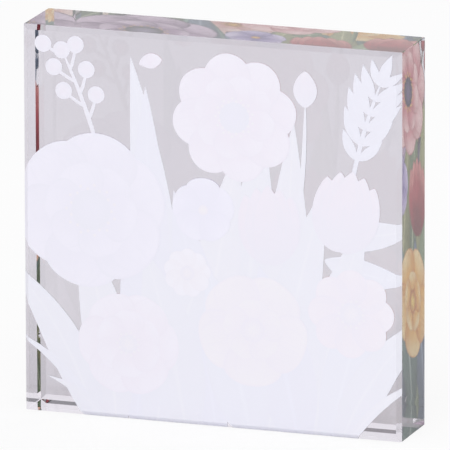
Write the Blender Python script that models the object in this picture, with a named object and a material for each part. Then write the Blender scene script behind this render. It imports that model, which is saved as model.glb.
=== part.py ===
"""Glass plaque: a thick clear block with bevelled edges, printed on its back face.

The picture is laid on the glass in reverse order, colours first and white last, so that it
is seen in colour through the block from the display side (+Y), and as a white silhouette
from the printed side (-Y). The block stands on its bottom face. The origin is at the middle
of the footprint, X runs across the face and Z up.
"""

import math
from typing import NamedTuple

import bmesh
import bpy
from mathutils import Vector
from mathutils.geometry import delaunay_2d_cdt

MM = 0.001

# Driving dimensions
BLOCK_WIDTH = 127.0 * MM
BLOCK_HEIGHT = 127.0 * MM
BLOCK_THICKNESS = 25.4 * MM
FACE_BEVEL = 1.5 * MM
EDGE_ARRIS = 0.2 * MM
INK_THICKNESS = 0.1 * MM
SEAT_GAP = 0.3 * MM
WHITE_CHOKE = 0.15 * MM

# The picture is drawn in millimetres on a square of this side, then fitted to the face.
PICTURE_SIDE = 127.0

# Drawn widths and lengths that several motifs share, in picture millimetres
STEM_WIDTH = 1.6
STALK_WIDTH = 1.3
BERRY_RADIUS = 2.9
BERRY_STALK = 8.5
FERN_LEAFLET = 15.0
FERN_LEAFLET_WIDTH = 4.8
LEAF_FOOT_DEPTH = 6.0

# How far side growth leans from its stem, and curls back towards it, in degrees
BERRY_LEAN = 42.0
STALK_CURL = 12.0
FERN_LEAN = 46.0
LEAFLET_CURL = 18.0

# Shares of a stem's length where its side growth starts and ends
BERRY_REACH = (0.30, 0.92)
FERN_REACH = (0.25, 0.95)
HEART_SHARE = 0.3

# Points along each side of a drawn outline
BLADE_STEPS = 9
DISC_STEPS = 14
BERRY_STEPS = 10
MIDRIB_STEPS = 14

# Ink layers, counted from the glass outwards
BLOOM_LAYER = 0
LEAF_LAYER = 1
WHITE_LAYER = 2
LAYERS = 3

# The footprint's middle is the origin, so half of the printed block lies on each side of it.
PRINT_DEPTH = LAYERS * (SEAT_GAP + INK_THICKNESS)
GLASS_FRONT = (BLOCK_THICKNESS + PRINT_DEPTH) / 2
GLASS_BACK = GLASS_FRONT - BLOCK_THICKNESS


class Form(NamedTuple):
    """A blade's form: a belly over 1 is widest near the tip, a fullness under 1 has blunt ends."""

    belly: float
    fullness: float


LEAF = Form(0.8, 0.9)
LEAFLET = Form(0.85, 1.0)
STEM = Form(0.6, 0.4)
BROAD_PETAL = Form(1.6, 0.45)
SLIM_PETAL = Form(1.5, 0.5)
CUP_PETAL = Form(0.8, 0.75)
BUD = Form(0.9, 0.7)
FALLEN_PETAL = Form(1.1, 0.7)

# A tulip's petals: lean in degrees, then height and width as shares of the flower's
CUP = ((-30, 0.92, 0.50), (30, 0.92, 0.50), (-14, 0.97, 0.50), (14, 0.97, 0.50), (0, 1.0, 0.52))
CUP_CURL = 0.75


class Finish(NamedTuple):
    """A material's name, linear colour, roughness and share of glass."""

    name: str
    colour: tuple
    roughness: float
    glass: float = 0.0


CLEAR_GLASS = Finish("clear_glass", (0.86, 0.88, 0.88), 0.03, 1.0)
WHITE_INK = Finish("white_ink", (0.88, 0.87, 0.94), 0.5)
MAUVE_INK = Finish("mauve_ink", (0.45, 0.31, 0.45), 0.45)
PINK_INK = Finish("pink_ink", (0.76, 0.42, 0.46), 0.45)
ROSE_INK = Finish("rose_ink", (0.52, 0.12, 0.15), 0.45)
YELLOW_INK = Finish("yellow_ink", (0.82, 0.54, 0.15), 0.45)
PEACH_INK = Finish("peach_ink", (0.80, 0.36, 0.20), 0.45)
LILAC_INK = Finish("lilac_ink", (0.50, 0.41, 0.62), 0.45)
BLUSH_INK = Finish("blush_ink", (0.84, 0.58, 0.55), 0.45)
CREAM_INK = Finish("cream_ink", (0.86, 0.76, 0.58), 0.45)
BERRY_INK = Finish("berry_ink", (0.40, 0.15, 0.16), 0.45)
SAGE_INK = Finish("sage_ink", (0.31, 0.38, 0.26), 0.45)
SLATE_INK = Finish("slate_ink", (0.19, 0.23, 0.31), 0.45)


class Motif(NamedTuple):
    """One printed motif: its node name, ink layer, finish, and outlines in picture millimetres."""

    name: str
    layer: int
    finish: Finish
    outlines: list


def clear_scene():
    """Remove whatever the scene already holds."""
    for item in list(bpy.data.objects):
        bpy.data.objects.remove(item, do_unlink=True)


def material(finish):
    """Return the Principled material of a finish, made on its first use."""
    found = bpy.data.materials.get(finish.name)
    if found:
        return found
    made = bpy.data.materials.new(finish.name)
    made.use_nodes = True
    shader = made.node_tree.nodes["Principled BSDF"]
    shader.inputs["Base Color"].default_value = (*finish.colour, 1.0)
    shader.inputs["Roughness"].default_value = finish.roughness
    shader.inputs["Metallic"].default_value = 0.0
    shader.inputs["Transmission Weight"].default_value = finish.glass
    return made


def blade(base, angle, length, width, bend=0.0, form=LEAF):
    """Return the outline of a leaf, stem or petal, counter-clockwise from its base.

    The midrib leaves the base at an angle in degrees and turns by bend degrees on the way
    to the tip.
    """
    x, z = base
    left, right = [(x, z)], []
    last = 0.0
    for step in range(1, BLADE_STEPS + 1):
        along = 0.5 - 0.5 * math.cos(math.pi * step / BLADE_STEPS)
        heading = math.radians(angle + bend * (along + last) / 2)
        x += math.cos(heading) * length * (along - last)
        z += math.sin(heading) * length * (along - last)
        last = along
        if step == BLADE_STEPS:
            left.append((x, z))
            break
        half = width / 2 * math.sin(math.pi * along**form.belly) ** form.fullness
        side = math.radians(angle + bend * along + 90)
        left.append((x + half * math.cos(side), z + half * math.sin(side)))
        right.append((x - half * math.cos(side), z - half * math.sin(side)))
    return list(reversed(left + right[::-1]))


def midrib(base, angle, length, bend, share):
    """Return the point and the heading at a share of the way along a bent midrib."""
    x, z = base
    for step in range(MIDRIB_STEPS):
        heading = math.radians(angle + bend * share * (step + 0.5) / MIDRIB_STEPS)
        x += math.cos(heading) * length * share / MIDRIB_STEPS
        z += math.sin(heading) * length * share / MIDRIB_STEPS
    return (x, z), angle + bend * share


def disc(centre, radius, steps=DISC_STEPS):
    """Return the outline of a round spot."""
    turns = [2 * math.pi * step / steps for step in range(steps)]
    return [(centre[0] + radius * math.cos(a), centre[1] + radius * math.sin(a)) for a in turns]


def bloom(centre, radius, petals, petal_width, turn, form):
    """Return the outlines of an open flower: a ring of petals and its heart."""
    ring = [
        blade(centre, turn + 360 * i / petals, radius, petal_width, form=form)
        for i in range(petals)
    ]
    return ring + [disc(centre, radius * HEART_SHARE)]


def tulip(base, angle, length, width):
    """Return the outlines of a closed cup of petals, whose tips stand apart."""
    return [
        blade(base, angle + lean, length * tall, width * wide, -CUP_CURL * lean, CUP_PETAL)
        for lean, tall, wide in CUP
    ]


def bud(base, angle, length, bend, bud_length, bud_width):
    """Return the outlines of a closed bud on a bent stem."""
    tip, heading = midrib(base, angle, length, bend, 0.97)
    return [
        blade(base, angle, length, STEM_WIDTH, bend, STEM),
        blade(tip, heading, bud_length, bud_width, form=BUD),
    ]


def fern(base, angle, length, bend, pairs):
    """Return the outlines of a fern frond: its stem, paired leaflets and end leaflet."""
    outlines = [blade(base, angle, length, STEM_WIDTH, bend, STEM)]
    start, end = FERN_REACH
    for i in range(pairs):
        share = i / (pairs - 1)
        point, heading = midrib(base, angle, length, bend, start + (end - start) * share)
        size = 0.55 + 0.45 * math.sin(math.pi * (0.15 + 0.8 * share))
        for side in (-1, 1):
            lean = heading + side * FERN_LEAN
            across = FERN_LEAFLET_WIDTH * size
            curl = -side * LEAFLET_CURL
            outlines.append(blade(point, lean, FERN_LEAFLET * size, across, curl, LEAFLET))
    tip, heading = midrib(base, angle, length, bend, end)
    outlines.append(blade(tip, heading, 0.75 * FERN_LEAFLET, 0.8 * FERN_LEAFLET_WIDTH))
    return outlines


def berry_spray(base, angle, length, bend, berries):
    """Return the outlines of a stem with berries on stalks by turns left and right."""
    outlines = [blade(base, angle, length, STEM_WIDTH, bend, STEM)]
    start, end = BERRY_REACH
    for i in range(berries):
        share = start + (end - start) * i / (berries - 1)
        point, heading = midrib(base, angle, length, bend, share)
        side = 1 if i % 2 else -1
        lean = heading + side * BERRY_LEAN
        curl = -side * STALK_CURL
        outlines.append(blade(point, lean, BERRY_STALK, STALK_WIDTH, curl, STEM))
        berry, _ = midrib(point, lean, BERRY_STALK, curl, 1.0)
        outlines.append(disc(berry, BERRY_RADIUS, BERRY_STEPS))
    tip, _ = midrib(base, angle, length, bend, 1.0)
    outlines.append(disc(tip, BERRY_RADIUS, BERRY_STEPS))
    return outlines


def border_leaves():
    """Return the long leaves that rise from below the bottom edge, and those at the right."""
    rising = (
        # foot along the bottom edge, heading, length, width, bend
        (-38, 104, 64, 13.0, 30),
        (-36, 112, 46, 3.4, 44),
        (-33, 116, 30, 3.2, 50),
        (-32, 92, 72, 16.0, 18),
        (-26, 84, 116, 17.0, 8),
        (-20, 78, 64, 18.0, -10),
        (-16, 90, 126, 16.0, 10),
        (-8, 98, 64, 20.0, 10),
        (-6, 84, 100, 18.0, -6),
        (2, 96, 84, 18.0, 8),
        (10, 88, 108, 19.0, -4),
        (14, 100, 60, 20.0, 10),
        (18, 80, 90, 18.0, -6),
        (26, 92, 108, 17.0, -6),
        (30, 100, 62, 20.0, 6),
        (34, 84, 80, 17.0, -14),
        (40, 84, 66, 15.0, -22),
        (42, 72, 58, 13.0, -30),
        (44, 66, 40, 3.4, -44),
    )
    leaves = [
        blade((foot, -LEAF_FOOT_DEPTH), angle, length, width, bend)
        for foot, angle, length, width, bend in rising
    ]
    leaves.append(blade((36, 66), -2, 34, 10, 20))
    leaves.append(blade((38, 58), -20, 30, 9, 20))
    return leaves


def picture():
    """Return every motif of the printed picture, in picture millimetres and degrees."""
    poppy = bloom((-40.5, 68), radius=25.5, petals=6, petal_width=26.5, turn=20, form=SLIM_PETAL)
    anemone = bloom((8, 102), radius=21, petals=8, petal_width=16, turn=10, form=SLIM_PETAL)
    lilac = bloom((-2.6, 71), radius=10.5, petals=5, petal_width=11.5, turn=18, form=BROAD_PETAL)
    primrose = bloom((14, 33), radius=18.5, petals=5, petal_width=20, turn=54, form=BROAD_PETAL)
    cosmos = bloom((47, 41), radius=14.5, petals=8, petal_width=11, turn=0, form=SLIM_PETAL)
    blush = bloom((-28, 25), radius=17, petals=6, petal_width=17, turn=0, form=BROAD_PETAL)
    daisy = bloom((-8, 50), radius=8, petals=9, petal_width=6, turn=8, form=SLIM_PETAL)
    left_tulip = tulip((20, 55), angle=92, length=26, width=22.5)
    right_tulip = tulip((43, 61), angle=80, length=27, width=25)
    poppy_bud = bud((30, 76), 84, length=32, bend=6, bud_length=12, bud_width=8)
    petal = [blade((-24, 117), 24, 8, 5, bend=-20, form=FALLEN_PETAL)]
    berries = berry_spray((-38, 88), 106, length=34, bend=10, berries=6)
    frond = fern((47, 82), 80, length=37, bend=-12, pairs=6)
    return [
        Motif("mauve_poppy", BLOOM_LAYER, MAUVE_INK, poppy),
        Motif("pink_anemone", BLOOM_LAYER, PINK_INK, anemone),
        Motif("lilac_blossom", BLOOM_LAYER, LILAC_INK, lilac),
        Motif("yellow_primrose", BLOOM_LAYER, YELLOW_INK, primrose),
        Motif("peach_cosmos", BLOOM_LAYER, PEACH_INK, cosmos),
        Motif("blush_blossom", BLOOM_LAYER, BLUSH_INK, blush),
        Motif("cream_daisy", BLOOM_LAYER, CREAM_INK, daisy),
        Motif("rose_tulip_left", BLOOM_LAYER, ROSE_INK, left_tulip),
        Motif("rose_tulip_right", BLOOM_LAYER, ROSE_INK, right_tulip),
        Motif("poppy_bud", BLOOM_LAYER, ROSE_INK, poppy_bud),
        Motif("loose_petal", BLOOM_LAYER, PINK_INK, petal),
        Motif("berry_spray", LEAF_LAYER, BERRY_INK, berries),
        Motif("slate_fern", LEAF_LAYER, SLATE_INK, frond),
        Motif("border_leaves", LEAF_LAYER, SAGE_INK, border_leaves()),
    ]


def drawn_in(outline, by):
    """Return a counter-clockwise outline with each point moved inwards."""
    moved = []
    for i, point in enumerate(outline):
        before = Vector(outline[i - 1])
        after = Vector(outline[(i + 1) % len(outline)])
        run = (after - before).normalized()
        moved.append((point[0] - run.y * by, point[1] + run.x * by))
    return moved


def merged_in_plan(outlines):
    """Return a flat mesh, in picture millimetres, of the area that the outlines cover together."""
    points, faces = [], []
    for outline in outlines:
        faces.append(list(range(len(points), len(points) + len(outline))))
        points.extend(Vector(point) for point in outline)
    places, _, triangles, _, _, sources = delaunay_2d_cdt(points, [], faces, 0, 1e-4)
    flat = bmesh.new()
    corners = [flat.verts.new((place.x, 0.0, place.y)) for place in places]
    for triangle, source in zip(triangles, sources):
        if source:
            flat.faces.new([corners[i] for i in triangle])
    loose = [corner for corner in flat.verts if not corner.link_faces]
    bmesh.ops.delete(flat, geom=loose, context="VERTS")
    bmesh.ops.dissolve_limit(
        flat, angle_limit=math.radians(0.5), verts=flat.verts[:], edges=flat.edges[:]
    )
    return flat


def cut(body, point, normal, clear):
    """Cut a mesh along a plane, clear what lies beyond it where asked, and return the new edges."""
    made = bmesh.ops.bisect_plane(
        body,
        geom=body.verts[:] + body.edges[:] + body.faces[:],
        dist=1e-7,
        plane_co=point,
        plane_no=normal,
        clear_outer=clear,
    )["geom_cut"]
    return [item for item in made if isinstance(item, bmesh.types.BMEdge)]


def fit_to_face(flat):
    """Scale the picture to the face, trim it to the block, and cut it where the bevels start.

    The corners, where two bevels meet, stay bare.
    """
    for corner in flat.verts:
        corner.co.x *= BLOCK_WIDTH / PICTURE_SIDE
        corner.co.z *= BLOCK_HEIGHT / PICTURE_SIDE
    half = BLOCK_WIDTH / 2
    bevel_start = half - FACE_BEVEL
    for side in (-1, 1):
        cut(flat, (side * half, 0, 0), (side, 0, 0), True)
        cut(flat, (side * bevel_start, 0, 0), (side, 0, 0), False)
        for edge, rise in ((0.0, -1), (BLOCK_HEIGHT, 1)):
            cut(flat, (side * bevel_start, 0, edge - rise * FACE_BEVEL), (side, 0, rise), True)
    for edge, rise in ((0.0, -1), (BLOCK_HEIGHT, 1)):
        cut(flat, (0, 0, edge), (0, 0, rise), True)
        cut(flat, (0, 0, edge - rise * FACE_BEVEL), (0, 0, rise), False)


def bevel_depth(x, z):
    """Return how far the bevels carry the back surface forward at a place off the corners."""
    across = max(0.0, abs(x) - (BLOCK_WIDTH / 2 - FACE_BEVEL))
    upward = max(0.0, abs(z - BLOCK_HEIGHT / 2) - (BLOCK_HEIGHT / 2 - FACE_BEVEL))
    return across + upward


def make_object(name, body, finish):
    """Turn a bmesh into a named object with its finish."""
    bmesh.ops.recalc_face_normals(body, faces=body.faces[:])
    mesh = bpy.data.meshes.new(name)
    body.to_mesh(mesh)
    body.free()
    made = bpy.data.objects.new(name, mesh)
    mesh.materials.append(material(finish))
    bpy.context.collection.objects.link(made)
    return made


def ink_film(name, layer, finish, outlines):
    """Print one film: the merged outlines, laid on the back face and over its bevels."""
    film = merged_in_plan(outlines)
    fit_to_face(film)
    lifted = bmesh.ops.extrude_face_region(film, geom=film.faces[:])["geom"]
    for corner in (item for item in lifted if isinstance(item, bmesh.types.BMVert)):
        corner.co.y -= INK_THICKNESS
    front = GLASS_BACK - SEAT_GAP - layer * (SEAT_GAP + INK_THICKNESS)
    for corner in film.verts:
        corner.co.y += front + bevel_depth(corner.co.x, corner.co.z)
    return make_object(name, film, finish)


def grind(block, point, normal):
    """Grind the block flat along a plane."""
    bmesh.ops.contextual_create(block, geom=cut(block, point, normal, True))


def glass_block():
    """Make the block: a bevel round each of its two faces, and a fine arris on the other edges."""
    block = bmesh.new()
    bmesh.ops.create_cube(block, size=1.0)
    bmesh.ops.scale(block, verts=block.verts[:], vec=(BLOCK_WIDTH, BLOCK_THICKNESS, BLOCK_HEIGHT))
    middle = ((GLASS_FRONT + GLASS_BACK) / 2, BLOCK_HEIGHT / 2)
    bmesh.ops.translate(block, verts=block.verts[:], vec=(0, *middle))
    half = BLOCK_WIDTH / 2
    edges = ((0.0, -1), (BLOCK_HEIGHT, 1))
    for face, way in ((GLASS_BACK, -1), (GLASS_FRONT, 1)):
        for side in (-1, 1):
            grind(block, (side * (half - FACE_BEVEL), face, 0), (side, way, 0))
        for edge, rise in edges:
            grind(block, (0, face, edge - rise * FACE_BEVEL), (0, way, rise))
    for side in (-1, 1):
        for edge, rise in edges:
            grind(block, (side * (half - EDGE_ARRIS), 0, edge), (side, 0, rise))
    return make_object("glass_block", block, CLEAR_GLASS)


def print_picture():
    """Lay down the colour films, then the white behind them, drawn in so that no white shows."""
    motifs = picture()
    for motif in motifs:
        ink_film(motif.name, motif.layer, motif.finish, motif.outlines)
    alone = [motif for motif in motifs if motif.name == "loose_petal"]
    joined = [motif for motif in motifs if motif.name != "loose_petal"]
    for name, group in (("white_backing", joined), ("white_backing_petal", alone)):
        outlines = [
            drawn_in(outline, WHITE_CHOKE / MM) for motif in group for outline in motif.outlines
        ]
        ink_film(name, WHITE_LAYER, WHITE_INK, outlines)


def main():
    """Build the plaque."""
    clear_scene()
    glass_block()
    print_picture()


main()
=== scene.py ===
"""Looks of the glass plaque: a polished block with a painted garden cured on its back, under white ink.

Everything is in metres in the part's frame: X across the face, Z up, the display face at +Y and
the printed face at -Y. Motifs are drawn in picture millimetres, with X as seen from the printed side.
"""

import logging
import math
from collections.abc import Iterator
from dataclasses import KW_ONLY, dataclass, field, replace
from enum import Enum
from functools import cache

import bmesh
import bpy
from bmesh.types import BMesh, BMVert
from bpy.types import ID, Material, Mesh, Node, NodeSocket, NodeTree, Object
from mathutils import Euler, Matrix, Vector


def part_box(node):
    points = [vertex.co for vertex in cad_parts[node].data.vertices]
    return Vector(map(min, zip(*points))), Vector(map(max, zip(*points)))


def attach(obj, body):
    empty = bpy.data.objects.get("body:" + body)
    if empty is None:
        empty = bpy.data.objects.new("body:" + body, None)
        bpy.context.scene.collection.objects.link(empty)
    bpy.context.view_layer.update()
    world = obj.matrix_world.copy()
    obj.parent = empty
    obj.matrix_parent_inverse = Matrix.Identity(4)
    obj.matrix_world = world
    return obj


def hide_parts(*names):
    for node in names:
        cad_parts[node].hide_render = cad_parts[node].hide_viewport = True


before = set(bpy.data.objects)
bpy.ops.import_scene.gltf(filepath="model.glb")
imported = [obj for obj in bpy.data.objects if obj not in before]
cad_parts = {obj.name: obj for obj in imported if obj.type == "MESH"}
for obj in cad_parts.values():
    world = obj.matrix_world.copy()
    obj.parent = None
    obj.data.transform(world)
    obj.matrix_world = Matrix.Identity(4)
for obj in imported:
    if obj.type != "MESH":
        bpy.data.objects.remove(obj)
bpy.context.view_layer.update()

log = logging.getLogger("plaque")

MM = 0.001
PHOTO_PIXELS = 450

# The picture is drawn in millimetres on a square of this side.
PICTURE_SIDE = 127.0

# How the ink lies: each stroke is a thin film, and later strokes lie nearer the display face
FILM_THICKNESS = 0.004 * MM
LEVEL_STEP = 0.006 * MM
FIRST_LEVEL = 0.005 * MM
WHITE_SEAT = 0.005 * MM

# How far the white is drawn in from the colours, in picture millimetres
WHITE_CHOKE = 0.03

# Steps along and across a drawn stroke
ALONG_STEPS = 22
ACROSS_STEPS = 4
SPOT_STEPS = 28
MIDRIB_STEPS = 24

# Points this near are one: where a film is cut, in metres, and at a stroke's tips, in picture millimetres
CUT_REACH = 1e-7
TIP_REACH = 1e-4

# Points of the block this near its back skin belong to its flat back face.
SKIN_REACH = 0.01 * MM

# Levels at which the strokes start: the sprays and the border leaves don't meet, so they share theirs
LEAF_LEVEL = 0
BLOOM_LEVEL = 22

# Inputs of a colour Mix node
MIX_FACTOR = 0
MIX_A = 6
MIX_B = 7

# What a Noise Texture mostly stays between
NOISE_LOW = 0.3
NOISE_HIGH = 0.7

# Steps of this share of a turn never repeat, so each stroke gets a tone of its own.
GOLDEN = 0.6180339887

Point = tuple[float, float]
Band = tuple[float, float]
Triple = tuple[float, float, float]
Colour = tuple[float, float, float, float]
Source = Node | NodeSocket


class Layer(str, Enum):
    """Names of the layers that strokes carry."""

    UV = "stroke"
    TONE = "tone"


def linear(hex_colour: str) -> Colour:
    """Turn an sRGB hex value into a linear colour.

    Args:
        hex_colour: six hex digits after a hash sign.

    Returns:
        Linear red, green, blue, and an alpha of 1.
    """
    parts = [int(hex_colour[i : i + 2], 16) / 255 for i in (1, 3, 5)]
    red, green, blue = (c / 12.92 if c <= 0.04045 else ((c + 0.055) / 1.055) ** 2.4 for c in parts)
    return (red, green, blue, 1.0)


def add_node(tree: NodeTree, kind: str, inputs: dict | None = None, **settings: object) -> Node:
    """Add a node with its settings, values and links.

    Args:
        tree: the node tree that it goes into.
        kind: the node's type name, without the ShaderNode before it.
        inputs: for each input's name or number, a value, or the socket or node that feeds it. A node
            feeds it from the first of its outputs that is in use.
        **settings: the node's own properties.

    Returns:
        The new node.
    """
    node = tree.nodes.new(f"ShaderNode{kind}")
    for name, value in settings.items():
        setattr(node, name, value)
    for key, value in (inputs or {}).items():
        if isinstance(value, Node):
            value = next(socket for socket in value.outputs if socket.enabled)
        if isinstance(value, NodeSocket):
            tree.links.new(value, node.inputs[key])
        else:
            node.inputs[key].default_value = value
    return node


def new_tree(name: str) -> tuple[Material, NodeTree]:
    """Make an empty material.

    Args:
        name: the material's name.

    Returns:
        The material and its node tree.
    """
    made = bpy.data.materials.new(name)
    made.use_nodes = True
    made.node_tree.nodes.clear()
    return made, made.node_tree


def lay_over(tree: NodeTree, ground: Source | Colour, paint: Colour, where: Source, band: Band,
             cover: Band = (0.0, 1.0)) -> Node:
    """Lay a colour over another as thickly as a value says.

    Args:
        tree: the material's node tree.
        ground: the colour below.
        paint: the colour that is laid over it.
        where: the value.
        band: the two values between which the cover changes.
        cover: how much the paint covers at each, from 0 to 1.

    Returns:
        The colour's node.
    """
    share = add_node(tree, "MapRange", {
        "Value": where, "From Min": band[0], "From Max": band[1], "To Min": cover[0], "To Max": cover[1],
    })
    return add_node(tree, "Mix", {MIX_FACTOR: share, MIX_A: ground, MIX_B: paint}, data_type="RGBA")


def drifting(tree: NodeTree, place: Source, size_mm: float, band: Band) -> Node:
    """Make a value that drifts over a piece in patches of a real size.

    Args:
        tree: the material's node tree.
        place: the place on the piece.
        size_mm: the size of the patches.
        band: the two values that it drifts between.

    Returns:
        The value's node.
    """
    noise = add_node(tree, "TexNoise", {"Vector": place, "Scale": 1 / (size_mm * MM)})
    return add_node(tree, "MapRange", {
        "Value": noise, "From Min": NOISE_LOW, "From Max": NOISE_HIGH, "To Min": band[0], "To Max": band[1],
    })


def new_film() -> BMesh:
    """Start a film of ink with the layers that strokes carry.

    Returns:
        The empty film.
    """
    film = bmesh.new()
    film.loops.layers.uv.new(Layer.UV.value)
    film.faces.layers.float.new(Layer.TONE.value)
    return film


def as_mesh(name: str, body: BMesh) -> Mesh:
    """Turn a finished bmesh into a mesh, and free it.

    Args:
        name: the mesh's name.
        body: the bmesh.

    Returns:
        The mesh.
    """
    mesh = bpy.data.meshes.new(name)
    body.to_mesh(mesh)
    body.free()
    return mesh


def put(name: str, data: ID) -> Object:
    """Put a mesh, a lamp or a camera into the scene.

    Args:
        name: the object's name.
        data: what it holds.

    Returns:
        The object.
    """
    made = bpy.data.objects.new(name, data)
    bpy.context.scene.collection.objects.link(made)
    return made


@dataclass(frozen=True)
class Form:
    """A stroke's form: a belly over 1 is widest near the tip, a fullness under 1 has blunt ends."""

    belly: float
    fullness: float


LEAF = Form(0.8, 0.9)
LEAFLET = Form(0.85, 1.0)
STEM = Form(0.6, 0.4)
BROAD_PETAL = Form(1.6, 0.45)
SLIM_PETAL = Form(1.5, 0.5)
CUP_PETAL = Form(0.8, 0.75)
BUD = Form(0.9, 0.7)
FALLEN_PETAL = Form(1.1, 0.7)


def share_along(step: float) -> float:
    """Return the share of a stroke's length at a step, closer together near both ends."""
    return 0.5 - 0.5 * math.cos(math.pi * step / ALONG_STEPS)


@dataclass(frozen=True)
class Blade:
    """A leaf, stem or petal round a bent midrib, in picture millimetres and degrees."""

    base: Point
    angle: float
    length: float
    width: float
    bend: float = 0.0
    form: Form = LEAF

    def midrib(self, share: float) -> tuple[Point, float]:
        """Follow the midrib.

        Args:
            share: how far along it, from 0 at the base to 1 at the tip.

        Returns:
            The point there and the heading in degrees.
        """
        x, z = self.base
        for step in range(MIDRIB_STEPS):
            heading = math.radians(self.angle + self.bend * share * (step + 0.5) / MIDRIB_STEPS)
            x += math.cos(heading) * self.length * share / MIDRIB_STEPS
            z += math.sin(heading) * self.length * share / MIDRIB_STEPS
        return (x, z), self.angle + self.bend * share

    def place(self, across: float, along: float) -> Point:
        """Find a point of the stroke.

        Args:
            across: from -1 at its right to 1 at its left.
            along: from 0 at its base to 1 at its tip.

        Returns:
            The point.
        """
        (x, z), heading = self.midrib(along)
        half = self.width / 2 * math.sin(math.pi * along**self.form.belly) ** self.form.fullness
        side = math.radians(heading + 90)
        return x + across * half * math.cos(side), z + across * half * math.sin(side)

    def drawn_in(self, by: float) -> "Blade":
        """Draw the outline in.

        Args:
            by: how far, in millimetres.

        Returns:
            The smaller blade.
        """
        turn = math.radians(self.angle)
        base = (self.base[0] + by * math.cos(turn), self.base[1] + by * math.sin(turn))
        return replace(self, base=base, length=self.length - 2 * by, width=self.width - 2 * by)

    def draw(self, film: BMesh) -> None:
        """Add the stroke to a film as a grid with its stroke coordinates.

        Args:
            film: the flat film, in picture millimetres.
        """
        uv = film.loops.layers.uv.verify()
        grid = bmesh.ops.create_grid(
            film, x_segments=ACROSS_STEPS, y_segments=ALONG_STEPS, size=1.0
        )["verts"]
        spots = {vert: (vert.co.x, share_along((vert.co.y + 1) / 2 * ALONG_STEPS)) for vert in grid}
        for face in {face for vert in grid for face in vert.link_faces}:
            for loop in face.loops:
                across, along = spots[loop.vert]
                loop[uv].uv = (0.5 + 0.5 * across, along)
        for vert, (across, along) in spots.items():
            x, z = self.place(across, along)
            vert.co = (x, 0.0, z)
        bmesh.ops.remove_doubles(film, verts=grid, dist=TIP_REACH)


@dataclass(frozen=True)
class Spot:
    """A round dab of ink, in picture millimetres."""

    centre: Point
    radius: float

    def drawn_in(self, by: float) -> "Spot":
        """Return the same spot with its outline moved in by so many millimetres."""
        return replace(self, radius=self.radius - by)

    def draw(self, film: BMesh) -> None:
        """Add the spot to a film as a fan, with its turn and its radius as stroke coordinates.

        Args:
            film: the flat film, in picture millimetres.
        """
        uv = film.loops.layers.uv.verify()
        fan = bmesh.ops.create_circle(
            film, cap_ends=True, cap_tris=True, segments=SPOT_STEPS, radius=1.0
        )["verts"]
        for face in {face for vert in fan for face in vert.link_faces}:
            for loop in face.loops:
                turn = math.atan2(loop.vert.co.y, loop.vert.co.x) / (2 * math.pi) + 0.5
                loop[uv].uv = (turn, loop.vert.co.length)
        x, z = self.centre
        for vert in fan:
            vert.co = (x + self.radius * vert.co.x, 0.0, z + self.radius * vert.co.y)


@dataclass(frozen=True)
class Brushwork:
    """What an ink's nodes read: the place on the piece, then where on a stroke it is, and its tone.

    All but the place run from 0 to 1. On a round dab, across is the turn and along is the radius.
    """

    tree: NodeTree
    place: NodeSocket
    across: NodeSocket
    along: NodeSocket
    tone: NodeSocket

    def off_middle(self) -> Node:
        """Return the distance from the stroke's middle line, as a share of its width."""
        off = add_node(self.tree, "Math", {0: self.across, 1: 0.5}, operation="SUBTRACT")
        return add_node(self.tree, "Math", {0: off}, operation="ABSOLUTE")


@dataclass(frozen=True)
class Ink:
    """UV-cured process ink, jetted on the glass in fine droplets and cured there by lamp.

    It lies against the glass, so it has no gloss of its own. The eye sees flat, full colour that
    runs softly from one tone to the next, with the faint grain of its droplets.
    """

    name: str
    base: str
    _: KW_ONLY
    pool_mm: float = 7.0
    pool_detail: float = 3.0
    pool_roughness: float = 0.55
    drift: Band = (-0.22, 0.22)
    lean: float = 0.10
    # Real droplets lie about 0.04 mm apart, too fine to show, so their grain is drawn this coarse.
    grain_mm: float = 0.8
    grain: float = 0.05
    roughness: float = 0.7

    def colour(self, brush: Brushwork) -> Node:
        """Mix the ink's colour over a stroke.

        Args:
            brush: what the nodes read.

        Returns:
            The colour's node.
        """
        raise NotImplementedError

    def washed_along(self, brush: Brushwork) -> Node:
        """Move the place along a stroke by soft pools, as a wash dries in, and by the stroke's tone.

        Args:
            brush: what the nodes read.

        Returns:
            The place's node.
        """
        tree = brush.tree
        pools = add_node(tree, "TexNoise", {
            "Vector": brush.place,
            "Scale": 1 / (self.pool_mm * MM),
            "Detail": self.pool_detail,
            "Roughness": self.pool_roughness,
        })
        along = brush.along
        for cause, (low, high) in ((pools, self.drift), (brush.tone, (-self.lean, self.lean))):
            shift = add_node(tree, "MapRange", {"Value": cause, "To Min": low, "To Max": high})
            along = add_node(tree, "Math", {0: along, 1: shift}, operation="ADD")
        return along

    def painted(self, tree: NodeTree) -> Node:
        """Mix the colour over each stroke of a piece, with the grain of its droplets.

        Args:
            tree: the material's node tree.

        Returns:
            The colour's node.
        """
        place = add_node(tree, "TexCoord").outputs["Object"]
        uv = add_node(tree, "UVMap", uv_map=Layer.UV.value)
        split = add_node(tree, "SeparateXYZ", {"Vector": uv}).outputs
        tone = add_node(tree, "Attribute", attribute_name=Layer.TONE.value).outputs["Fac"]
        colour = self.colour(Brushwork(tree, place, split["X"], split["Y"], tone))
        grain = drifting(tree, place, self.grain_mm, (1 - self.grain, 1 + self.grain))
        inputs = {MIX_FACTOR: 1.0, MIX_A: colour, MIX_B: grain}
        return add_node(tree, "Mix", inputs, data_type="RGBA", blend_type="MULTIPLY")

    @cache
    def material(self) -> Material:
        """Make the material on its first use.

        Returns:
            The material.
        """
        made, tree = new_tree(self.name)
        shader = add_node(tree, "BsdfPrincipled", {
            "Base Color": self.painted(tree), "Roughness": self.roughness, "Specular IOR Level": 0.0,
        })
        add_node(tree, "OutputMaterial", {"Surface": shader})
        return made


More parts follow.
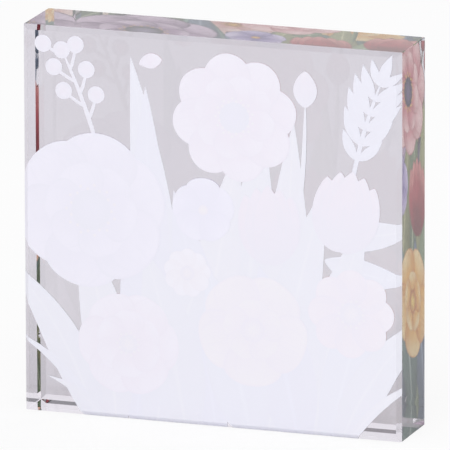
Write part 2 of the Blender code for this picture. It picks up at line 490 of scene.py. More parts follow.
@dataclass(frozen=True)
class Contour:
    """A brushed outline round a stroke, and the shade along one side of it.

    The side band counts from the middle of the stroke, and the tip band along it.
    """

    shade: float = 0.38
    side: Band = (0.44, 0.49)
    tip: Band = (0.955, 0.985)
    strength: float = 0.6

    def draw(self, brush: Brushwork, ground: Node, dark: str) -> Node:
        """Shade one side of a stroke and draw its outline.

        Args:
            brush: what the nodes read.
            ground: the colour so far.
            dark: the colour of the outline and the shaded side.

        Returns:
            The colour's node.
        """
        tree, line = brush.tree, linear(dark)
        shaded = lay_over(tree, ground, line, brush.across, (0.0, 0.5), (self.shade, 0.0))
        edges = [
            add_node(tree, "MapRange", {"Value": value, "From Min": low, "From Max": high})
            for value, (low, high) in ((brush.off_middle(), self.side), (brush.along, self.tip))
        ]
        edge = add_node(tree, "Math", dict(enumerate(edges)), operation="MAXIMUM")
        return lay_over(tree, shaded, line, edge, (0.0, 1.0), (0.0, self.strength))


CONTOUR = Contour()


@dataclass(frozen=True)
class PetalInk(Ink):
    """Ink of a petal: a deep throat that pales to its rim, with streaks along it."""

    middle: str
    rim: str
    streak: str
    _: KW_ONLY
    stops: Triple = (0.12, 0.5, 0.92)
    streaks: float = 16.0
    streak_band: Band = (0.48, 0.72)
    streak_strength: float = 0.55

    def colour(self, brush: Brushwork) -> Node:
        """Mix the petal's colour.

        Args:
            brush: what the nodes read.

        Returns:
            The colour's node.
        """
        tree = brush.tree
        blend = add_node(tree, "ValToRGB", {"Fac": self.washed_along(brush)})
        ramp = blend.color_ramp
        ramp.interpolation = "EASE"
        throat, edge = ramp.elements
        throat.position, middle, edge.position = self.stops
        throat.color, edge.color = linear(self.base), linear(self.rim)
        ramp.elements.new(middle).color = linear(self.middle)
        across = add_node(tree, "Math", {0: brush.across, 1: self.streaks}, operation="MULTIPLY")
        fibre = add_node(tree, "CombineXYZ", {"X": across, "Y": brush.along, "Z": brush.tone})
        strands = add_node(tree, "TexNoise", {"Vector": fibre, "Scale": 1.0})
        cover = (0.0, self.streak_strength)
        streaked = lay_over(tree, blend, linear(self.streak), strands, self.streak_band, cover)
        return CONTOUR.draw(brush, streaked, self.streak)


@dataclass(frozen=True)
class LeafInk(Ink):
    """Ink of a leaf: two greens that run into each other, a pale midrib and side veins."""

    tip: str
    vein: str
    dark: str
    _: KW_ONLY
    pool_mm: float = 9.0
    drift: Band = (-0.5, 0.3)
    lean: float = 0.3
    side_veins: float = 26.0
    vein_slant: float = 5.0
    vein_band: Band = (0.80, 0.96)
    vein_strength: float = 0.28
    midrib_band: Band = (0.015, 0.055)
    midrib_strength: float = 0.75

    def colour(self, brush: Brushwork) -> Node:
        """Mix the leaf's colour.

        Args:
            brush: what the nodes read.

        Returns:
            The colour's node.
        """
        tree, off = brush.tree, brush.off_middle()
        inputs = {MIX_FACTOR: self.washed_along(brush), MIX_A: linear(self.base), MIX_B: linear(self.tip)}
        green = add_node(tree, "Mix", inputs, data_type="RGBA")
        count = add_node(tree, "Math", {0: brush.along, 1: self.side_veins}, operation="MULTIPLY")
        slant = add_node(tree, "Math", {0: off, 1: -self.vein_slant, 2: count}, operation="MULTIPLY_ADD")
        saw = add_node(tree, "Math", {0: slant}, operation="FRACT")
        low, high = self.vein_band
        side_vein = add_node(tree, "MapRange", {
            "Value": saw, "From Min": low, "From Max": high, "To Max": self.vein_strength,
        })
        low, high = self.midrib_band
        midrib = add_node(tree, "MapRange", {
            "Value": off, "From Min": low, "From Max": high, "To Min": self.midrib_strength, "To Max": 0.0,
        })
        lines = add_node(tree, "Math", {0: side_vein, 1: midrib}, operation="MAXIMUM")
        inputs = {MIX_FACTOR: lines, MIX_A: green, MIX_B: linear(self.vein)}
        veined = add_node(tree, "Mix", inputs, data_type="RGBA")
        return CONTOUR.draw(brush, veined, self.dark)


@dataclass(frozen=True)
class StemInk(Ink):
    """Ink of a stem or a stalk: lit along one side."""

    dark: str
    _: KW_ONLY
    lit_band: Band = (0.15, 0.85)

    def colour(self, brush: Brushwork) -> Node:
        """Mix the stem's colour, dark at its right and lit at its left."""
        return lay_over(brush.tree, linear(self.dark), linear(self.base), brush.across, self.lit_band)


@dataclass(frozen=True)
class HeartInk(Ink):
    """Ink of a flower's heart or a berry: from a middle colour to a rim colour, with seed specks."""

    rim: str
    speck: str
    specks: float = 0.5
    _: KW_ONLY
    rim_band: Band = (0.25, 0.95)
    seed_mm: float = 0.8
    seed_band: Band = (0.28, 0.40)

    def colour(self, brush: Brushwork) -> Node:
        """Mix the heart's colour.

        Args:
            brush: what the nodes read.

        Returns:
            The colour's node.
        """
        tree = brush.tree
        disc = lay_over(tree, linear(self.base), linear(self.rim), brush.along, self.rim_band)
        seeds = add_node(tree, "TexVoronoi", {"Vector": brush.place, "Scale": 1 / (self.seed_mm * MM)})
        return lay_over(tree, disc, linear(self.speck), seeds, self.seed_band, (self.specks, 0.0))


POPPY_PETAL = PetalInk("poppy_petal_ink", "#6d4a70", "#a98aa8", "#d9c4d6", "#5f4064")
POPPY_HEART = HeartInk("poppy_heart_ink", "#8d7f9b", "#2e2238", "#241a2b")
ANEMONE_PETAL = PetalInk("anemone_petal_ink", "#b4525c", "#dc969b", "#f2cfcb", "#a84a55")
ANEMONE_HEART = HeartInk("anemone_heart_ink", "#6a5680", "#32253f", "#1f1728")
LILAC_PETAL = PetalInk("lilac_petal_ink", "#7d6aa3", "#ab9ac8", "#d8cde6", "#6b5a94")
PRIMROSE_PETAL = PetalInk("primrose_petal_ink", "#d0702c", "#eeb85a", "#f7dfa4", "#c87a35")
PRIMROSE_HEART = HeartInk("primrose_heart_ink", "#f3d06a", "#c0692a", "#8a4a20")
COSMOS_PETAL = PetalInk("cosmos_petal_ink", "#c4553a", "#e8966f", "#f8cfb0", "#b34c36")
COSMOS_HEART = HeartInk("cosmos_heart_ink", "#e8b54a", "#9a5424", "#6e3a1c")
BLUSH_PETAL = PetalInk("blush_petal_ink", "#c97f7c", "#e8b6ae", "#f7ded5", "#bb7572")
DAISY_PETAL = PetalInk("daisy_petal_ink", "#d8b98a", "#f0e0c2", "#fbf4e4", "#c9a678")
TULIP_PETAL = PetalInk("tulip_petal_ink", "#7c2531", "#b94a55", "#e29a92", "#7f2430")
BUD_PETAL = PetalInk("bud_petal_ink", "#7c2531", "#ab3f4b", "#cf7270", "#6f1f2b")
BORDER_LEAF = LeafInk("border_leaf_ink", "#54654a", "#8fa07c", "#c3cba8", "#3c4a3a")
OLIVE_LEAF = LeafInk("olive_leaf_ink", "#6c6f44", "#a5a878", "#d3d2a6", "#4a4d30")
TEAL_LEAF = LeafInk("teal_leaf_ink", "#48615c", "#86a098", "#bccdc2", "#33463f")
SLATE_LEAF = LeafInk("slate_leaf_ink", "#3f4d63", "#73839a", "#aab6c4", "#2c3648")
SAGE_STEM = StemInk("sage_stem_ink", "#8b9a70", "#4c5a41")
SLATE_STEM = StemInk("slate_stem_ink", "#76869b", "#33405a")
BERRY_SKIN = HeartInk("berry_skin_ink", "#b7525a", "#6a2029", "#8a3038", 0.2)
BERRY_STEM = StemInk("berry_stem_ink", "#8a6a5c", "#54382f")
POLLEN = HeartInk("pollen_ink", "#f2d58a", "#c78a3c", "#a8692a", 0.2)


@dataclass(frozen=True)
class Stroke:
    """One stroke of the picture, with its ink and how near the display face it lies."""

    shape: Blade | Spot
    ink: Ink
    level: int


@dataclass(frozen=True)
class PrintedFace:
    """The back face and its bevels, which the picture is printed on."""

    low: Vector
    high: Vector
    bevel: float

    @classmethod
    def of_block(cls, block: Object) -> "PrintedFace":
        """Measure the face on the block.

        Args:
            block: the glass block's object.

        Returns:
            The printed face.
        """
        low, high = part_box(block.name)
        flat = [v.co.z for v in block.data.vertices if v.co.y < low[1] + SKIN_REACH]
        return cls(Vector(low), Vector(high), high[2] - max(flat))

    def cut(self, film: BMesh, point: Point, normal: Point, clear: bool) -> None:
        """Cut a flat film along an upright plane.

        Args:
            film: the film, in metres.
            point: a place on the plane, as X and Z.
            normal: the plane's direction, as X and Z.
            clear: whether what lies beyond the plane goes.
        """
        bmesh.ops.bisect_plane(
            film,
            geom=film.verts[:] + film.edges[:] + film.faces[:],
            dist=CUT_REACH,
            plane_co=(point[0], 0, point[1]),
            plane_no=(normal[0], 0, normal[1]),
            clear_outer=clear,
        )

    def trim(self, film: BMesh) -> None:
        """Scale a film to the face, trim it to the block and cut it where the bevels start.

        The corners, where two bevels meet, stay bare.

        Args:
            film: the flat film, in picture millimetres.
        """
        width, height = self.high.x - self.low.x, self.high.z - self.low.z
        scale = (width / PICTURE_SIDE, 1, height / PICTURE_SIDE)
        bmesh.ops.scale(film, verts=film.verts[:], vec=scale)
        half = width / 2
        bevel_start = half - self.bevel
        ends = ((0.0, -1), (height, 1))
        for side in (-1, 1):
            self.cut(film, (side * half, 0), (side, 0), True)
            self.cut(film, (side * bevel_start, 0), (side, 0), False)
            for edge, rise in ends:
                self.cut(film, (side * bevel_start, edge - rise * self.bevel), (side, rise), True)
        for edge, rise in ends:
            self.cut(film, (0, edge), (0, rise), True)
            self.cut(film, (0, edge - rise * self.bevel), (0, rise), False)

    def seat(self, film: BMesh, lift: float) -> None:
        """Lay a trimmed film on the face and over its bevels.

        Args:
            film: the film, in metres, with any thickness already in Y.
            lift: how far into the glass it lies. A negative lift lies outside the glass.
        """
        half = (self.high.x - self.low.x) / 2 - self.bevel
        middle = (self.high.z + self.low.z) / 2
        rise = middle - self.bevel - self.low.z
        for vert in film.verts:
            across = max(0.0, abs(vert.co.x) - half)
            upward = max(0.0, abs(vert.co.z - middle) - rise)
            vert.co.y += self.low.y + lift + across + upward


@dataclass
class PrintedFilm:
    """Strokes of ink that lie on one face, gathered into one piece."""

    face: PrintedFace
    whole: BMesh = field(default_factory=new_film)
    inks: list[Material] = field(default_factory=list)
    count: int = 0

    def lay(self, shape: Blade | Spot, ink: Material, outer: float, inner: float) -> None:
        """Lay one stroke as a thin closed film.

        Args:
            shape: the stroke's shape.
            ink: the stroke's material.
            outer: how far into the glass its outer side lies, in metres, or below 0 outside it.
            inner: the same for its inner side.
        """
        if ink not in self.inks:
            self.inks.append(ink)
        film = new_film()
        shape.draw(film)
        self.face.trim(film)
        made = bmesh.ops.extrude_face_region(film, geom=film.faces[:])["geom"]
        far_side = [item for item in made if isinstance(item, BMVert)]
        bmesh.ops.translate(film, verts=far_side, vec=(0, inner - outer, 0))
        self.face.seat(film, outer)
        bmesh.ops.recalc_face_normals(film, faces=film.faces[:])
        self.count += 1
        tone = film.faces.layers.float[Layer.TONE.value]
        for part in film.faces:
            part.material_index = self.inks.index(ink)
            part[tone] = self.count * GOLDEN % 1.0
        stroke_mesh = as_mesh("stroke", film)
        self.whole.from_mesh(stroke_mesh)
        bpy.data.meshes.remove(stroke_mesh)

    def piece(self, name: str, node: str, slot: str) -> Object:
        """Finish the film as a piece that rides on the block.

        Args:
            name: the piece's name.
            node: the CAD film that it stands for.
            slot: not used.

        Returns:
            The piece.
        """
        mesh = as_mesh(name, self.whole)
        for ink in self.inks:
            mesh.materials.append(ink)
        made = put(name, mesh)
        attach(made, "root")
        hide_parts(node)
        return made


@dataclass
class Motif:
    """A printed motif, and the CAD film that it stands for."""

    node: str
    slot: str

    def strokes(self) -> Iterator[Stroke]:
        """Yield the motif's strokes."""
        raise NotImplementedError

    def build(self, face: PrintedFace) -> Object:
        """Paint the motif on the inside of the glass's back skin.

        Args:
            face: the printed face.

        Returns:
            The piece.
        """
        film = PrintedFilm(face)
        for stroke in self.strokes():
            outer = FIRST_LEVEL + stroke.level * LEVEL_STEP
            film.lay(stroke.shape, stroke.ink.material(), outer, outer + FILM_THICKNESS)
        return film.piece(f"{self.node}_print", self.node, self.slot)


@dataclass
class Bloom(Motif):
    """An open flower: a ring of petals, perhaps an inner ring, a heart and its stamens."""

    centre: Point
    radius: float
    petals: int
    petal_width: float
    turn: float
    form: Form
    petal_ink: Ink
    heart_ink: Ink
    heart_share: float = 0.3
    inner_share: float = 0.0
    stamens: int = 0
    dab_radius: float = 0.55
    # How far out the dabs lie by turns, as shares of the heart's radius
    dab_reach: Band = (1.05, 1.25)

    def ring(self, share: float, turn: float, level: int) -> Iterator[Stroke]:
        """Yield one ring of petals.

        Args:
            share: the ring's size as a share of the flower's.
            turn: the first petal's heading in degrees.
            level: the first petal's level.
        """
        length, width = self.radius * share, self.petal_width * share
        for i in range(self.petals):
            heading = turn + 360 * i / self.petals
            petal = Blade(self.centre, heading, length, width, 0.0, self.form)
            yield Stroke(petal, self.petal_ink, level + i)

    def strokes(self) -> Iterator[Stroke]:
        """Yield the flower's strokes."""
        level = BLOOM_LEVEL
        yield from self.ring(1.0, self.turn, level)
        level += self.petals
        if self.inner_share:
            yield from self.ring(self.inner_share, self.turn + 180 / self.petals, level)
            level += self.petals
        heart = self.radius * self.heart_share
        yield Stroke(Spot(self.centre, heart), self.heart_ink, level)
        x, z = self.centre
        for i in range(self.stamens):
            turn = 2 * math.pi * i / self.stamens
            reach = heart * self.dab_reach[i % 2]
            dab = Spot((x + reach * math.cos(turn), z + reach * math.sin(turn)), self.dab_radius)
            yield Stroke(dab, POLLEN, level + 1)


@dataclass
class Tulip(Motif):
    """A closed cup of petals, whose tips stand apart."""

    base: Point
    angle: float
    length: float
    width: float
    # Each petal's lean in degrees, and its length and width as shares of the cup's
    cup: tuple[Triple, ...] = (
        (-30, 0.92, 0.50),
        (30, 0.92, 0.50),
        (-14, 0.97, 0.50),
        (14, 0.97, 0.50),
        (0, 1.0, 0.52),
    )
    curl: float = 0.75

    def strokes(self) -> Iterator[Stroke]:
        """Yield the cup's petals, the outer ones first."""
        for i, (lean, tall, wide) in enumerate(self.cup):
            length, width = self.length * tall, self.width * wide
            petal = Blade(self.base, self.angle + lean, length, width, -self.curl * lean, CUP_PETAL)
            yield Stroke(petal, TULIP_PETAL, BLOOM_LEVEL + i)


@dataclass
class PoppyBud(Motif):
    """A closed bud on a bent stem."""

    stem: Blade
    bud_length: float
    bud_width: float
    # How far up the stem the bud starts
    seat: float = 0.97

    def strokes(self) -> Iterator[Stroke]:
        """Yield the stem and the bud."""
        yield Stroke(self.stem, SAGE_STEM, BLOOM_LEVEL)
        tip, heading = self.stem.midrib(self.seat)
        bud = Blade(tip, heading, self.bud_length, self.bud_width, form=BUD)
        yield Stroke(bud, BUD_PETAL, BLOOM_LEVEL + 1)


@dataclass
class FallenPetal(Motif):
    """A loose petal."""

    petal: Blade

    def strokes(self) -> Iterator[Stroke]:
        """Yield the petal."""
        yield Stroke(self.petal, ANEMONE_PETAL, BLOOM_LEVEL)


@dataclass
class FernFrond(Motif):
    """A frond: its stem, paired leaflets that swell towards its middle, and an end leaflet."""

    stem: Blade
    pairs: int
    reach: Band = (0.25, 0.95)
    leaflet: float = 15.0
    leaflet_width: float = 4.8
    lean: float = 46.0
    curl: float = 18.0
    least_share: float = 0.55
    swell_share: float = 0.45
    # Where the first pair lies in the swell's half wave, and how much of it the pairs take up
    swell_start: float = 0.15
    swell_run: float = 0.8
    # The end leaflet's length and width, as shares of a full leaflet's
    end_share: Band = (0.75, 0.8)

    def strokes(self) -> Iterator[Stroke]:
        """Yield the frond's strokes."""
        yield Stroke(self.stem, SLATE_STEM, LEAF_LEVEL)
        start, end = self.reach
        for i in range(self.pairs):
            share = i / (self.pairs - 1)
            point, heading = self.stem.midrib(start + (end - start) * share)
            swell = math.sin(math.pi * (self.swell_start + self.swell_run * share))
            size = self.least_share + self.swell_share * swell
            length, width = self.leaflet * size, self.leaflet_width * size
            for side in (-1, 1):
                turn = heading + side * self.lean
                blade = Blade(point, turn, length, width, -side * self.curl, LEAFLET)
                yield Stroke(blade, SLATE_LEAF, LEAF_LEVEL + 1 + 2 * i + (side + 1) // 2)
        tip, heading = self.stem.midrib(end)
        long, wide = self.end_share
        last = Blade(tip, heading, long * self.leaflet, wide * self.leaflet_width)
        yield Stroke(last, SLATE_LEAF, LEAF_LEVEL + 1 + 2 * self.pairs)


@dataclass
class BerrySpray(Motif):
    """A stem with berries on stalks by turns left and right, and one at its tip."""

    stem: Blade
    berries: int
    reach: Band = (0.30, 0.92)
    stalk: float = 8.5
    stalk_width: float = 1.3
    radius: float = 2.9
    lean: float = 42.0
    curl: float = 12.0

    def strokes(self) -> Iterator[Stroke]:
        """Yield the spray's strokes."""
        yield Stroke(self.stem, BERRY_STEM, LEAF_LEVEL)
        start, end = self.reach
        for i in range(self.berries):
            share = start + (end - start) * i / (self.berries - 1)
            point, heading = self.stem.midrib(share)
            side = 1 if i % 2 else -1
            turn = heading + side * self.lean
            stalk = Blade(point, turn, self.stalk, self.stalk_width, -side * self.curl, STEM)
            yield Stroke(stalk, BERRY_STEM, LEAF_LEVEL + 1)
            yield Stroke(Spot(stalk.midrib(1.0)[0], self.radius), BERRY_SKIN, LEAF_LEVEL + 2 + i)
        last = Spot(self.stem.midrib(1.0)[0], self.radius)
        yield Stroke(last, BERRY_SKIN, LEAF_LEVEL + 2 + self.berries)


@dataclass
class BorderLeaves(Motif):
    """The long leaves that rise from below the bottom edge, and those at the right."""

    foot_depth: float = 6.0
    rising: tuple[tuple[float, float, float, float, float], ...] = (
        # foot along the bottom edge, heading, length, width, bend
        (-38, 104, 64, 13.0, 30),
        (-36, 112, 46, 3.4, 44),
        (-33, 116, 30, 3.2, 50),
        (-32, 92, 72, 16.0, 18),
        (-26, 84, 116, 17.0, 8),
        (-20, 78, 64, 18.0, -10),
        (-16, 90, 126, 16.0, 10),
        (-8, 98, 64, 20.0, 10),
        (-6, 84, 100, 18.0, -6),
        (2, 96, 84, 18.0, 8),
        (10, 88, 108, 19.0, -4),
        (14, 100, 60, 20.0, 10),
        (18, 80, 90, 18.0, -6),
        (26, 92, 108, 17.0, -6),
        (30, 100, 62, 20.0, 6),
        (34, 84, 80, 17.0, -14),
        (40, 84, 66, 15.0, -22),
        (42, 72, 58, 13.0, -30),
        (44, 66, 40, 3.4, -44),
    )
    side: tuple[Blade, ...] = (
        Blade((36, 66), -2, 34, 10, 20),
        Blade((38, 58), -20, 30, 9, 20),
    )
    inks: tuple[LeafInk, ...] = (BORDER_LEAF, TEAL_LEAF, BORDER_LEAF, OLIVE_LEAF, SLATE_LEAF)

    def strokes(self) -> Iterator[Stroke]:
        """Yield the leaves, the tall ones behind the short ones."""
        rising = [
            Blade((foot, -self.foot_depth), angle, length, width, bend)
            for foot, angle, length, width, bend in self.rising
        ]
        tall_first = sorted(enumerate(rising), key=lambda leaf: -leaf[1].length)
        leaves = [*enumerate(self.side), *tall_first]
        for level, (place, blade) in enumerate(leaves):
            ink = self.inks[place % len(self.inks)]
            yield Stroke(blade, ink, LEAF_LEVEL + level)


def garden() -> list[Motif]:
    """List every motif of the picture.

    Returns:
        The motifs.
    """
    return [
        # Flowers: node, slot, centre, radius, petals, their width, turn and form, petal and heart ink,
        # the heart's and the inner ring's shares of the radius, stamens
        Bloom("mauve_poppy", "mauve_ink", (-40.5, 68), 25.5, 6, 26.5, 20, SLIM_PETAL,
              POPPY_PETAL, POPPY_HEART, 0.26, 0.62, 22),
        Bloom("pink_anemone", "pink_ink", (8, 102), 21, 8, 16, 10, SLIM_PETAL,
              ANEMONE_PETAL, ANEMONE_HEART, 0.24, 0.66, 26),
        Bloom("lilac_blossom", "lilac_ink", (-2.6, 71), 10.5, 5, 11.5, 18, BROAD_PETAL,
              LILAC_PETAL, PRIMROSE_HEART, 0.16),
        Bloom("yellow_primrose", "yellow_ink", (14, 33), 18.5, 5, 20, 54, BROAD_PETAL,
              PRIMROSE_PETAL, PRIMROSE_HEART, 0.22, 0.55, 14),
        Bloom("peach_cosmos", "peach_ink", (47, 41), 14.5, 8, 11, 0, SLIM_PETAL,
              COSMOS_PETAL, COSMOS_HEART, 0.26, 0.0, 16),
        Bloom("blush_blossom", "blush_ink", (-28, 25), 17, 6, 17, 0, BROAD_PETAL,
              BLUSH_PETAL, COSMOS_HEART, 0.18, 0.66, 14),
        Bloom("cream_daisy", "cream_ink", (-8, 50), 8, 9, 6, 8, SLIM_PETAL,
              DAISY_PETAL, COSMOS_HEART),
        Tulip("rose_tulip_left", "rose_ink", (20, 55), 92, 26, 22.5),
        Tulip("rose_tulip_right", "rose_ink", (43, 61), 80, 27, 25),
        PoppyBud("poppy_bud", "rose_ink", Blade((30, 76), 84, 32, 1.6, 6, STEM), 12, 8),
        FallenPetal("loose_petal", "pink_ink", Blade((-24, 117), 24, 8, 5, -20, FALLEN_PETAL)),
        BerrySpray("berry_spray", "berry_ink", Blade((-38, 88), 106, 34, 1.6, 10, STEM), 6),
        FernFrond("slate_fern", "slate_ink", Blade((47, 82), 80, 37, 1.6, -12, STEM), 6),
        BorderLeaves("border_leaves", "sage_ink"),
    ]


@dataclass(frozen=True)
class WhiteInk:
    """Opaque white UV ink, jetted over the colours and cured in air.

    The eye sees a cool, even white with a satin skin: its sheen drifts a little where the ink has
    levelled more, and its droplets leave a fine pebble. The colours under it show very faintly, more
    by their hue than by their darkness.
    """

    name: str = "cured_white_ink"
    colour: str = "#efeef8"
    show_through: float = 0.033
    shown_hue: float = 1.6
    shown_value: float = 1.4
    roughness: Band = (0.44, 0.56)
    levelled_mm: float = 6.0
    # Real droplets are about 0.04 mm across, too fine to show, so the pebble is drawn this coarse.
    pebble_mm: float = 0.6
    pebble_height_mm: float = 0.02
    pebble_strength: float = 0.15

    @cache
    def material(self, under: Ink) -> Material:
        """Make the material on its first use.

        Args:
            under: the ink that the white lies on, which shows through it very faintly.

        Returns:
            The material.
        """
        made, tree = new_tree(f"{self.name}_on_{under.name}")
        place = add_node(tree, "TexCoord").outputs["Object"]
        pebble = add_node(tree, "TexNoise", {"Vector": place, "Scale": 1 / (self.pebble_mm * MM)})
        bump = add_node(tree, "Bump", {
            "Height": pebble, "Strength": self.pebble_strength, "Distance": self.pebble_height_mm * MM,
        })
        shown = add_node(tree, "HueSaturation", {
            "Color": under.painted(tree), "Saturation": self.shown_hue, "Value": self.shown_value,
        })
        inputs = {MIX_FACTOR: self.show_through, MIX_A: linear(self.colour), MIX_B: shown}
        tinted = add_node(tree, "Mix", inputs, data_type="RGBA")
        satin = drifting(tree, place, self.levelled_mm, self.roughness)
        shader = add_node(tree, "BsdfPrincipled", {"Base Color": tinted, "Roughness": satin, "Normal": bump})
        add_node(tree, "OutputMaterial", {"Surface": shader})
        return made


@dataclass
class WhiteBacking:
    """The white behind the colours, drawn in a little so that none shows round them."""

    node: str
    motifs: list[Motif]
    ink: WhiteInk = WhiteInk()

    def build(self, face: PrintedFace) -> Object:
        """Lay the white on the outside of the back face, stroke on stroke as the picture is.

        Args:
            face: the printed face.

        Returns:
            The piece.
        """
        film = PrintedFilm(face)
        for motif in self.motifs:
            for stroke in motif.strokes():
                outer = -WHITE_SEAT - FILM_THICKNESS - stroke.level * LEVEL_STEP
                shape = stroke.shape.drawn_in(WHITE_CHOKE)
                film.lay(shape, self.ink.material(stroke.ink), outer, -WHITE_SEAT)
        return film.piece(f"{self.node}_ink", self.node, "white_ink")


@dataclass(frozen=True)
class PolishedGlass:
    """Optical crown glass, cast thick, ground flat and polished with felt.

    The eye sees a water-clear block with no green in its depth, whose bevels draw crisp lines.
    Its grey darkens all that is seen through it: partly the glass's own faint grey, partly painted
    shade that stands in for darker surroundings behind the block. The polish leaves a long,
    shallow wave, which bends those lines a little, and faint hazy streaks, which soften what the
    faces mirror.
    """

    name: str = "polished_crown_glass"
    # The glass's faint grey together with painted shade: it darkens the view through the block as darker
    # surroundings would
    grey_and_painted_shade: str = "#e1dde5"
    ior: float = 1.517
    lamp_tint: str = "#eeedef"
    wave_mm: float = 18.0
    wave_height_mm: float = 0.012
    haze_mm: float = 9.0
    haze_stretch: float = 5.0
    haze: float = 0.03

    def material(self) -> Material:
        """Make the material. Light for the inks passes straight through it, as in a thin pane.

        Returns:
            The material.
        """
        made, tree = new_tree(self.name)
        place = add_node(tree, "TexCoord").outputs["Object"]
        wave = add_node(
            tree, "TexNoise", {"Vector": place, "Scale": 1 / (self.wave_mm * MM), "Detail": 0.0}
        )
        wavy = add_node(tree, "Bump", {"Height": wave, "Distance": self.wave_height_mm * MM})
        wiped = add_node(tree, "Mapping", {"Vector": place, "Scale": (1.0, 1.0, self.haze_stretch)})
        glass = add_node(tree, "BsdfPrincipled", {
            "Base Color": linear(self.grey_and_painted_shade),
            "Roughness": drifting(tree, wiped, self.haze_mm, (0.0, self.haze)),
            "IOR": self.ior,
            "Transmission Weight": 1.0,
            "Normal": wavy,
        })
        rays = add_node(tree, "LightPath").outputs
        inputs = {0: rays["Is Shadow Ray"], 1: rays["Is Diffuse Ray"]}
        light = add_node(tree, "Math", inputs, operation="MAXIMUM")
        clear = add_node(tree, "BsdfTransparent", {"Color": linear(self.lamp_tint)})
        both = add_node(tree, "MixShader", {0: light, 1: glass, 2: clear})
        add_node(tree, "OutputMaterial", {"Surface": both})
        return made


@dataclass
class GlassBlock:
    """The block itself, which keeps its CAD solid."""

    node: str = "glass_block"
    finish: PolishedGlass = PolishedGlass()

    def dress(self) -> Object:
        """Polish the block.

        Returns:
            The block's object.
        """
        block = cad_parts[self.node]
        block.data.materials.clear()
        block.data.materials.append(self.finish.material())
        return block


@dataclass(frozen=True)
class Lamp:
    """A soft square lamp that points at the block, with its side in metres."""

    name: str
    place: Triple
    side: float
    watts: float

    def hang(self) -> None:
        """Hang the lamp in its place."""
        data = bpy.data.lights.new(self.name, "AREA")
        data.size = self.side
        data.energy = self.watts
        lamp = put(self.name, data)
        lamp.location = self.place
        lamp.rotation_euler = (-Vector(self.place)).to_track_quat("-Z", "Y").to_euler()


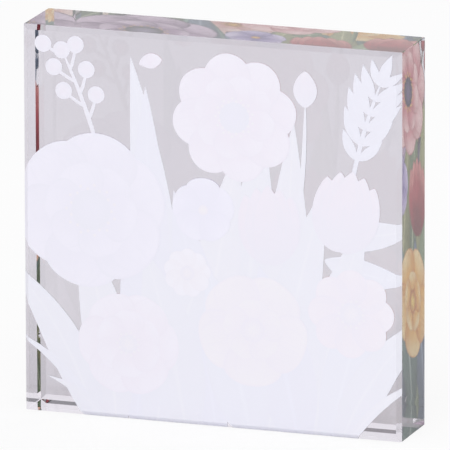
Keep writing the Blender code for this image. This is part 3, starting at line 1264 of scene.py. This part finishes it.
@dataclass
class Studio:
    """The pale floor, the soft lamps, the sky and the camera.

    Heights in the sky are the sines of their elevations. The camera's distance and target count in
    widths of the block.
    """

    floor_size: float = 8.0
    floor_gap: float = 0.1 * MM
    paper: str = "#fbfbfd"
    seen_paper: str = "#fafafb"
    plain_shadow: float = 0.2
    mirrored_shadow: float = 0.85
    sky_light: float = 0.78
    wall: float = 1.15
    horizon_height: float = 0.22
    wall_band: Band = (0.34, 0.45)
    ceiling_height: float = 0.9
    overhead: str = "#99999b"
    lamps: tuple[Lamp, ...] = (
        Lamp("key_lamp", (0.3, -2.2, 2.2), 2.4, 38.0),
        Lamp("fill_lamp", (1.6, 2.0, 1.9), 1.3, 17.0),
    )
    camera_azimuth: float = 19.42
    camera_elevation: float = 14.09
    camera_roll: float = -0.16
    camera_distance: float = 30.71
    focal_pixels: float = 12248.2
    target: Point = (0.0017, 0.4985)
    sensor_mm: float = 36.0

    def seen(self, tree: NodeTree) -> tuple[Node, NodeSocket]:
        """Tell rays that show the surroundings from rays that gather light.

        Args:
            tree: the node tree.

        Returns:
            A node that gives 1 for rays that show them, and a socket that is 1 for the camera's alone.
        """
        rays = add_node(tree, "LightPath").outputs
        inputs = {0: rays["Is Glossy Ray"], 1: rays["Is Transmission Ray"]}
        mirror = add_node(tree, "Math", inputs, operation="MAXIMUM")
        inputs = {0: rays["Is Camera Ray"], 1: mirror}
        return add_node(tree, "Math", inputs, operation="MAXIMUM"), rays["Is Camera Ray"]

    def lay_floor(self) -> None:
        """Lay the floor, which shows white and keeps the block's shadow.

        Air lies between it and the polished base, so the base mirrors what is seen through the block.
        """
        body = bmesh.new()
        bmesh.ops.create_grid(body, x_segments=1, y_segments=1, size=self.floor_size / 2)
        bmesh.ops.translate(body, verts=body.verts[:], vec=(0, 0, -self.floor_gap))
        floor = put("floor", as_mesh("floor", body))
        made, tree = new_tree("matt_white_paper")
        shown, direct = self.seen(tree)
        paper = add_node(tree, "BsdfDiffuse", {"Color": linear(self.paper)})
        share = add_node(tree, "MapRange", {
            "Value": direct, "To Min": self.mirrored_shadow, "To Max": self.plain_shadow,
        })
        lit = add_node(tree, "BsdfDiffuse", {"Color": linear(self.seen_paper)})
        glow = add_node(tree, "Emission", {"Strength": 1.0})
        white = add_node(tree, "MixShader", {0: share, 1: glow, 2: lit})
        both = add_node(tree, "MixShader", {0: shown, 1: paper, 2: white})
        add_node(tree, "OutputMaterial", {"Surface": both})
        floor.data.materials.append(made)

    def light_sky(self) -> None:
        """Light the sky: white at the horizon, lit walls above it, and a dim ceiling overhead."""
        world = bpy.data.worlds.new("studio")
        bpy.context.scene.world = world
        world.use_nodes = True
        tree = world.node_tree
        tree.nodes.clear()
        way = add_node(tree, "TexCoord").outputs["Generated"]
        height = add_node(tree, "SeparateXYZ", {"Vector": way}).outputs["Z"]
        sky = add_node(tree, "ValToRGB", {"Fac": height})
        horizon, ceiling = sky.color_ramp.elements
        horizon.color = (1 / self.wall, 1 / self.wall, 1 / self.wall, 1.0)
        horizon.position = self.horizon_height
        ceiling.position = self.ceiling_height
        ceiling.color = linear(self.overhead)
        for wall_edge in self.wall_band:
            sky.color_ramp.elements.new(wall_edge).color = (1.0, 1.0, 1.0, 1.0)
        shown = add_node(tree, "Background", {"Color": sky, "Strength": self.wall})
        light = add_node(tree, "Background", {"Strength": self.sky_light})
        both = add_node(tree, "MixShader", {0: self.seen(tree)[0], 1: light, 2: shown})
        add_node(tree, "OutputWorld", {"Surface": both})

    def set_camera(self, face: PrintedFace) -> None:
        """Set the camera at the photograph's angle, distance and framing.

        Args:
            face: the printed face.
        """
        width = face.high.x - face.low.x
        data = bpy.data.cameras.new("camera")
        data.sensor_width = self.sensor_mm
        data.lens = self.focal_pixels / PHOTO_PIXELS * self.sensor_mm
        camera = put("camera", data)
        bpy.context.scene.camera = camera
        azimuth, elevation = math.radians(self.camera_azimuth), math.radians(self.camera_elevation)
        level = math.cos(elevation)
        back = Vector((math.sin(azimuth) * level, -math.cos(azimuth) * level, math.sin(elevation)))
        across, upward = self.target
        middle = (face.low.y + face.high.y) / 2
        aim = Vector((across * width, middle, upward * width))
        turn = Euler((math.pi / 2 - elevation, 0, azimuth)).to_matrix()
        roll = Matrix.Rotation(math.radians(self.camera_roll), 3, "Z")
        place = Matrix.Translation(aim + back * self.camera_distance * width)
        camera.matrix_world = place @ (turn @ roll).to_4x4()

    def build(self, face: PrintedFace) -> None:
        """Set up the studio.

        Args:
            face: the printed face.
        """
        self.lay_floor()
        self.light_sky()
        for lamp in self.lamps:
            lamp.hang()
        self.set_camera(face)
        bpy.context.scene.view_settings.view_transform = "Standard"


def main() -> None:
    """Dress the plaque and set up the studio."""
    logging.basicConfig(level=logging.INFO, format="%(name)s: %(message)s")
    block = GlassBlock().dress()
    face = PrintedFace.of_block(block)
    log.info("block dressed, bevel %.2f mm", face.bevel / MM)
    motifs = garden()
    for motif in motifs:
        piece = motif.build(face)
        log.info("%s painted, %d faces", piece.name, len(piece.data.polygons))
    for node, fallen in (("white_backing", False), ("white_backing_petal", True)):
        group = [motif for motif in motifs if isinstance(motif, FallenPetal) == fallen]
        piece = WhiteBacking(node, group).build(face)
        log.info("%s laid, %d faces", piece.name, len(piece.data.polygons))
    Studio().build(face)


if __name__ == "__main__":
    main()
